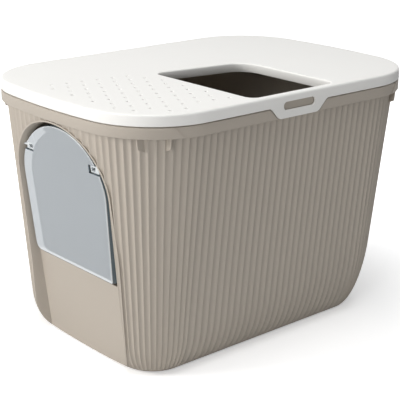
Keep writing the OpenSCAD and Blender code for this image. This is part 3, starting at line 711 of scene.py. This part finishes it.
# The litter holes are drilled by a Geometry Nodes tree: it lays out slanting rows, drops the holes
# that would come too near the edge or the entry, and cuts the rest out of the lid.
def hole_tree():
    tree = bpy.data.node_groups.new("Drill litter holes", "GeometryNodeTree")
    face = tree.interface
    face.new_socket("Lid", in_out="INPUT", socket_type="NodeSocketGeometry")
    ids = {}
    for name, kind in (("Columns", "NodeSocketInt"), ("Rows", "NodeSocketInt"),
                       ("First Hole", "NodeSocketVector"),
                       ("Row Step", "NodeSocketVector"), ("Column Step", "NodeSocketVector"),
                       ("Half Size", "NodeSocketVector"), ("Corner Radius", "NodeSocketFloat"),
                       ("Entry Limit", "NodeSocketFloat"), ("Drill", "NodeSocketObject"),
                       ("Material", "NodeSocketMaterial")):
        ids[name] = face.new_socket(name, in_out="INPUT", socket_type=kind).identifier
    face.new_socket("Lid", in_out="OUTPUT", socket_type="NodeSocketGeometry")
    start = node(tree, "NodeGroupInput")
    end = node(tree, "NodeGroupOutput")

    def calc(operation, *values):
        made = node(tree, "ShaderNodeMath", operation=operation)
        for k, value in enumerate(values):
            if isinstance(value, (int, float)):
                made.inputs[k].default_value = value
            else:
                tree.links.new(value, made.inputs[k])
        return made.outputs[0]

    def vector(operation, first, second=None, scale=None):
        made = node(tree, "ShaderNodeVectorMath", operation=operation)
        tree.links.new(first, made.inputs[0])
        if second is not None:
            tree.links.new(second, made.inputs[1])
        if scale is not None:
            tree.links.new(scale, made.inputs["Scale"])
        return made.outputs["Value"] if operation == "LENGTH" else made.outputs["Vector"]

    count = calc("MULTIPLY", start.outputs["Columns"], start.outputs["Rows"])
    line = node(tree, "GeometryNodeMeshLine")
    tree.links.new(count, line.inputs["Count"])
    index = node(tree, "GeometryNodeInputIndex").outputs[0]
    i = calc("FLOOR", calc("DIVIDE", calc("ADD", index, 0.5), start.outputs["Rows"]))
    j = calc("SUBTRACT", index, calc("MULTIPLY", i, start.outputs["Rows"]))
    along = vector("SCALE", start.outputs["Row Step"], scale=i)
    across = vector("SCALE", start.outputs["Column Step"], scale=j)
    place = vector("ADD", vector("ADD", start.outputs["First Hole"], along), across)
    layout = node(tree, "GeometryNodeSetPosition")
    tree.links.new(line.outputs[0], layout.inputs["Geometry"])
    tree.links.new(place, layout.inputs["Position"])
    here = node(tree, "GeometryNodeInputPosition").outputs[0]
    parts = node(tree, "ShaderNodeSeparateXYZ")
    tree.links.new(here, parts.inputs[0])
    size = node(tree, "ShaderNodeSeparateXYZ")
    tree.links.new(start.outputs["Half Size"], size.inputs[0])
    r = start.outputs["Corner Radius"]
    qx = calc("SUBTRACT", calc("ABSOLUTE", parts.outputs[0]), calc("SUBTRACT", size.outputs[0], r))
    qy = calc("SUBTRACT", calc("ABSOLUTE", parts.outputs[1]), calc("SUBTRACT", size.outputs[1], r))
    corner = node(tree, "ShaderNodeCombineXYZ")
    tree.links.new(calc("MAXIMUM", qx, 0), corner.inputs[0])
    tree.links.new(calc("MAXIMUM", qy, 0), corner.inputs[1])
    outside = calc("GREATER_THAN", vector("LENGTH", corner.outputs[0]), r)
    too_near = calc("GREATER_THAN", parts.outputs[0], start.outputs["Entry Limit"])
    drop = calc("MAXIMUM", outside, too_near)
    thin = node(tree, "GeometryNodeDeleteGeometry", domain="POINT")
    tree.links.new(layout.outputs[0], thin.inputs["Geometry"])
    tree.links.new(drop, thin.inputs["Selection"])
    drill = node(tree, "GeometryNodeObjectInfo")
    tree.links.new(start.outputs["Drill"], drill.inputs["Object"])
    copies = node(tree, "GeometryNodeInstanceOnPoints")
    tree.links.new(thin.outputs[0], copies.inputs["Points"])
    tree.links.new(drill.outputs["Geometry"], copies.inputs["Instance"])
    real = node(tree, "GeometryNodeRealizeInstances")
    tree.links.new(copies.outputs[0], real.inputs[0])
    bite = node(tree, "GeometryNodeMeshBoolean", operation="DIFFERENCE", solver="EXACT")
    tree.links.new(start.outputs["Lid"], bite.inputs["Mesh 1"])
    tree.links.new(real.outputs[0], bite.inputs["Mesh 2"])
    coat = node(tree, "GeometryNodeSetMaterial")
    tree.links.new(bite.outputs["Mesh"], coat.inputs["Geometry"])
    tree.links.new(start.outputs["Material"], coat.inputs["Material"])
    tree.links.new(coat.outputs[0], end.inputs[0])
    return tree, ids


drill_shape = [(HOLE_D / 2, 0.385), (HOLE_D / 2, HEIGHT - 0.0005),
               (HOLE_D / 2 + 0.0002, HEIGHT - 0.0002), (HOLE_D / 2 + 0.0008, HEIGHT + 0.0005)]
drill_turn = [2 * math.pi * k / 24 for k in range(24)]
drill = loft("drill", [np.array([(r * math.cos(g), r * math.sin(g), z) for g in drill_turn])
                       for r, z in drill_shape])
tree, ids = hole_tree()
ROW_PITCH, COLUMN_PITCH = 0.0248, 0.0254
row_angle, column_angle, margin = math.radians(-9.6), math.radians(-119.2), 0.024
step = lid_shell.modifiers.new("holes", "NODES")
step.node_group = tree
for name, value in (("Columns", 11), ("Rows", 10), ("First Hole", (-0.2455, 0.052, 0)),
                    ("Row Step", (ROW_PITCH * math.cos(row_angle),
                                  ROW_PITCH * math.sin(row_angle), 0)),
                    ("Column Step", (COLUMN_PITCH * math.cos(column_angle),
                                     COLUMN_PITCH * math.sin(column_angle), 0)),
                    ("Half Size", (LID_L / 2 - margin - 0.002, LID_W / 2 - margin, 0)),
                    ("Corner Radius", LID_R - margin),
                    ("Entry Limit", ENTRY_SHIFT - ENTRY_L / 2 - 0.020),
                    ("Drill", drill), ("Material", ivory_plastic)):
    step[ids[name]] = value
settled(lid_shell)
bpy.data.objects.remove(drill)


def cut_finger_slot(item, side):
    carve(item, slab("slot_tool", stadium(SLOT_HALF, SLOT_H),
                     side * (LID_W / 2 - LID_WALL - 0.002), side * (LID_W / 2 + 0.002)))


for side in (-1, 1):
    cut_finger_slot(lid_shell, side)
crease(lid_shell, 35)
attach(lid_shell, "lid")
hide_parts("lid")

lip_profile = ([(lip_round - lip_round * math.sin(math.radians(a)),
                 HEIGHT - lip_round + lip_round * math.cos(math.radians(a)))
                for a in range(0, 91, 15)]
               + [(0, HEIGHT - LIP_H + 0.0008), (0.0008, HEIGHT - LIP_H), (LID_WALL - 0.0008, HEIGHT - LIP_H),
                  (LID_WALL, HEIGHT - LIP_H + 0.0008), (LID_WALL, HEIGHT - LID_WALL)]
               + [(lip_round, HEIGHT - LID_WALL)])
entry_lip = loft("lid_entry_lip", [entry_ring(g, z) for g, z in lip_profile], ivory_plastic,
                 closed=True)
crease(entry_lip, 50)
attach(entry_lip, "lid")

# Latch tabs
# Two tongues of the lid's own plastic hang from its skirt in the middle of the long sides. Each
# flares into the skirt and has half of a finger slot at its top.
TAB_STEPS = 24
tab_top = SKIRT_Z + 0.0005
for name, side, body in (("latch_tab_front", -1, "front_latch"),
                         ("latch_tab_rear", 1, "rear_latch")):
    outer_y = side * LID_W / 2
    rings = []
    for d, e in ((0.0, 0.0006), (0.0006, 0), (LID_WALL - 0.0006, 0), (LID_WALL, 0.0006)):
        outline = tab_outline(0, tab_top, COLLAR_Z + e, TAB_STEPS)
        rings.append(np.array([(x, outer_y - side * d, z) for x, z in outline]))
    tab = loft(f"{name}_shape", rings, ivory_plastic)
    cut_finger_slot(tab, side)
    # Cuts across the tab give it the points that it needs to bend.
    b = bmesh.new()
    b.from_mesh(tab.data)
    for k in range(1, 14):
        bmesh.ops.bisect_plane(b, geom=b.verts[:] + b.edges[:] + b.faces[:],
                               plane_co=(0, 0, tab_top - 0.0013 * k), plane_no=(0, 0, 1))
    b.to_mesh(tab.data)
    b.free()
    crease(tab, 35)
    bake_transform(tab)
    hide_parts(name)

# Door flap
# A shallow tray of translucent smoky plastic, moulded with its open side to the inside. A thin rib
# stiffens it behind the face, its shoulders hold the clips, and its lower corners are rounded, the
# far one more than the near one.
SMOKE = (0.44, 0.476, 0.505, 1)
FLAP_GAP, FLAP_T, FLAP_DEPTH, FLAP_DRAFT = 0.0045, 0.002, 0.008, 0.0015
FLAP_CORNER_R, FLAP_CORNER_NEAR = 0.013, 0.004
smoky_plastic = plastic("Translucent smoky plastic", SMOKE, 0.30, drift=0.0, grain=0.00001, size=600.0,
                        Transmission_Weight=0.30, IOR=1.46, Coat_Weight=0.2, Coat_Roughness=0.12)


def flap_outline(inset, lift=0.0):
    """The flap's outline [y, z]: the doorway's arch less the gap, with rounded lower corners."""
    base = arch(0, -FLAP_GAP - inset, SILL_Z + FLAP_GAP + inset + lift)
    head, (left, right) = base[:-2], base[-2:]
    points = list(head)
    for q, p, s, corner in ((left, head[-1], right, FLAP_CORNER_NEAR),
                            (right, left, head[0], FLAP_CORNER_R)):
        u, w = (p - q) / np.linalg.norm(p - q), (s - q) / np.linalg.norm(s - q)
        half = math.acos(float(u @ w)) / 2
        mid = (u + w) / np.linalg.norm(u + w)
        r = max(corner - inset * 0.5, 0.001)
        c = q + mid * r / math.sin(half)
        aim, reach = math.atan2(-mid[1], -mid[0]), math.pi / 2 - half
        for k in range(-8, 9):
            g = aim + reach * k / 8
            points.append(c + r * np.array((math.cos(g), math.sin(g))))
    return np.array(points)


face_in = FLAP_DRAFT + FLAP_T
flap_layers = ([(FLAP_DEPTH - FLAP_T, face_in + 0.0006), (FLAP_DEPTH - FLAP_T - 0.0006, face_in),
                (0.0003, FLAP_T), (0, FLAP_T - 0.0003), (0, 0.0003), (0.0003, 0)]
               + [(FLAP_DEPTH - 0.0016 + 0.0016 * math.sin(math.radians(a)),
                   FLAP_DRAFT - 0.0003 + 0.0016 * (1 - math.cos(math.radians(a)))) for a in range(0, 91, 15)]
               + [(FLAP_DEPTH, FLAP_DRAFT + 0.004)])
# The face's last ring is pulled in along its left side, so that the band between it and the edge can carry
# painted light.
lit_band_edge = flap_outline(FLAP_DRAFT + 0.005)
over = np.clip((lit_band_edge[:, 0] - DOOR_Y) / 0.06, 0, 1)
lit_band_edge[:, 0] -= 0.0155 * over * over * (3 - 2 * over)
flap = door_solid("door_flap_shape", [(out, flap_outline(inset)) for out, inset in flap_layers]
                  + [(FLAP_DEPTH, lit_band_edge)], smoky_plastic)
RIB_IN, RIB_T = 0.010, 0.0016
rib = door_solid("rib", [(out, flap_outline(RIB_IN, FLAP_T - RIB_IN))
                         for out in (0.001, FLAP_DEPTH - 0.001)])
rib_hole = door_solid("rib_hole", [(out, flap_outline(RIB_IN + RIB_T, -RIB_IN))
                                   for out in (-0.002, FLAP_DEPTH - FLAP_T + 0.0004)])
carve(rib, rib_hole)
carve(flap, rib, "UNION")
CLIP_L, CLIP_H, CLIP_T = 0.020, 0.012, 0.005
clip_y = pivot_half - 0.005


def by_pivot(side, out, across, up):
    """A place by a pivot: out from the pivot, across from the clip's outer end, and up."""
    return (-pivot_x - out * math.cos(lean) - up * math.sin(lean),
            DOOR_Y + side * (clip_y - across),
            PIVOT_Z - out * math.sin(lean) + up * math.cos(lean))


def by_pivot_block(name, side, outs, acrosses, ups, material=None):
    corners = [by_pivot(side, o, a, u) for o in outs for a in acrosses for u in ups]
    sides = [(0, 1, 3, 2), (4, 6, 7, 5), (0, 2, 6, 4), (1, 5, 7, 3), (0, 4, 5, 1), (2, 3, 7, 6)]
    block = mesh_object(name, corners, sides, material)
    face_outwards(block)
    return block


clear = 0.0003
for side in (-1, 1):
    carve(flap, by_pivot_block("shoulder", side, (-FLAP_DEPTH, FLAP_DEPTH),
                               (-0.005, CLIP_L + clear),
                               (-CLIP_H / 2 - clear, CLIP_H / 2 + clear)))
# Paint on the flap's faces stands in for light and shade: the side walls get a painted shade, darker than the
# face, the rounded edge and the bottom strip of the face get a painted highlight, and a band along the left
# of the face gets painted light.
WALL_SHADE_PAINT, EDGE_HIGHLIGHT_PAINT, BAND_LIGHT_PAINT = 1, 2, 3
for name, colour, roughness in (
        ("Smoky plastic, wall", (0.115, 0.155, 0.185, 1), 0.16),
        ("Smoky plastic, rounded edge", (0.62, 0.65, 0.67, 1), 0.2),
        ("Smoky plastic, over the side wall", (0.465, 0.497, 0.522, 1), 0.28)):
    flap.data.materials.append(plastic(name, colour, roughness, drift=0.0, grain=0.00001, size=600.0,
                                       Coat_Weight=0.3, Coat_Roughness=0.1))
for face in flap.data.polygons:
    facing = -face.normal.x * math.cos(lean) - face.normal.z * math.sin(lean)
    x, y, z = face.center
    out = -x - panel_x(z)
    # Front face: painted highlight on its bottom strip, painted light on its left band.
    if facing > 0.985 and out > FLAP_DEPTH - 0.0005:
        strip = face.area < 0.012
        low = z < SILL_Z + FLAP_GAP + 0.007
        lit_band_side = strip and y - DOOR_Y > 0.03
        face.material_index = EDGE_HIGHLIGHT_PAINT if strip and low else BAND_LIGHT_PAINT if lit_band_side else 0
    # Rounded edge all round: painted highlight.
    elif out > FLAP_DEPTH - 0.0016 and facing > 0.1:
        face.material_index = EDGE_HIGHLIGHT_PAINT
    # Side walls: painted shade.
    elif abs(facing) < 0.4 and out > 0:
        face.material_index = WALL_SHADE_PAINT
crease(flap, 35)
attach(flap, "door")
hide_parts("door_flap")

# Hinge clips
# Two frosty clear clips sit in the flap's shoulders. Each is a small frame with a window, and a pin
# on its outer end turns in a blind bore in the side of the arch.
FROST = (0.74, 0.78, 0.80, 1)
WINDOW_L, WINDOW_H = 0.009, 0.0055
frosty_plastic = plastic("Frosty clear plastic", FROST, 0.22, drift=0.04, grain=0.00003, size=500.0,
                         Transmission_Weight=0.10, IOR=1.49)
for name, side in (("hinge_clip_left", 1), ("hinge_clip_right", -1)):
    clip = by_pivot_block(f"{name}_shape", side, (-CLIP_T / 2, CLIP_T / 2), (0, CLIP_L),
                          (-CLIP_H / 2, CLIP_H / 2), frosty_plastic)
    round_step = clip.modifiers.new("round", "BEVEL")
    round_step.width, round_step.segments = 0.0015, 3
    settled(clip)
    carve(clip, by_pivot_block("window", side, (-CLIP_T, CLIP_T),
                               (CLIP_L * 0.6 - WINDOW_L / 2, CLIP_L * 0.6 + WINDOW_L / 2),
                               (-WINDOW_H / 2, WINDOW_H / 2)))
    start_y, end_y = DOOR_Y + side * (clip_y - 0.004), DOOR_Y + side * (pivot_half + 0.008)
    pin_at = ((start_y, PIN_R), (end_y - side * 0.0005, PIN_R), (end_y, PIN_R - 0.0005))
    carve(clip, loft("pin", [pivot_ring(y, r) for y, r in pin_at]), "UNION")
    crease(clip, 35)
    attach(clip, "door")
    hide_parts(name)

scene = bpy.context.scene
scene.view_settings.view_transform = "Standard"
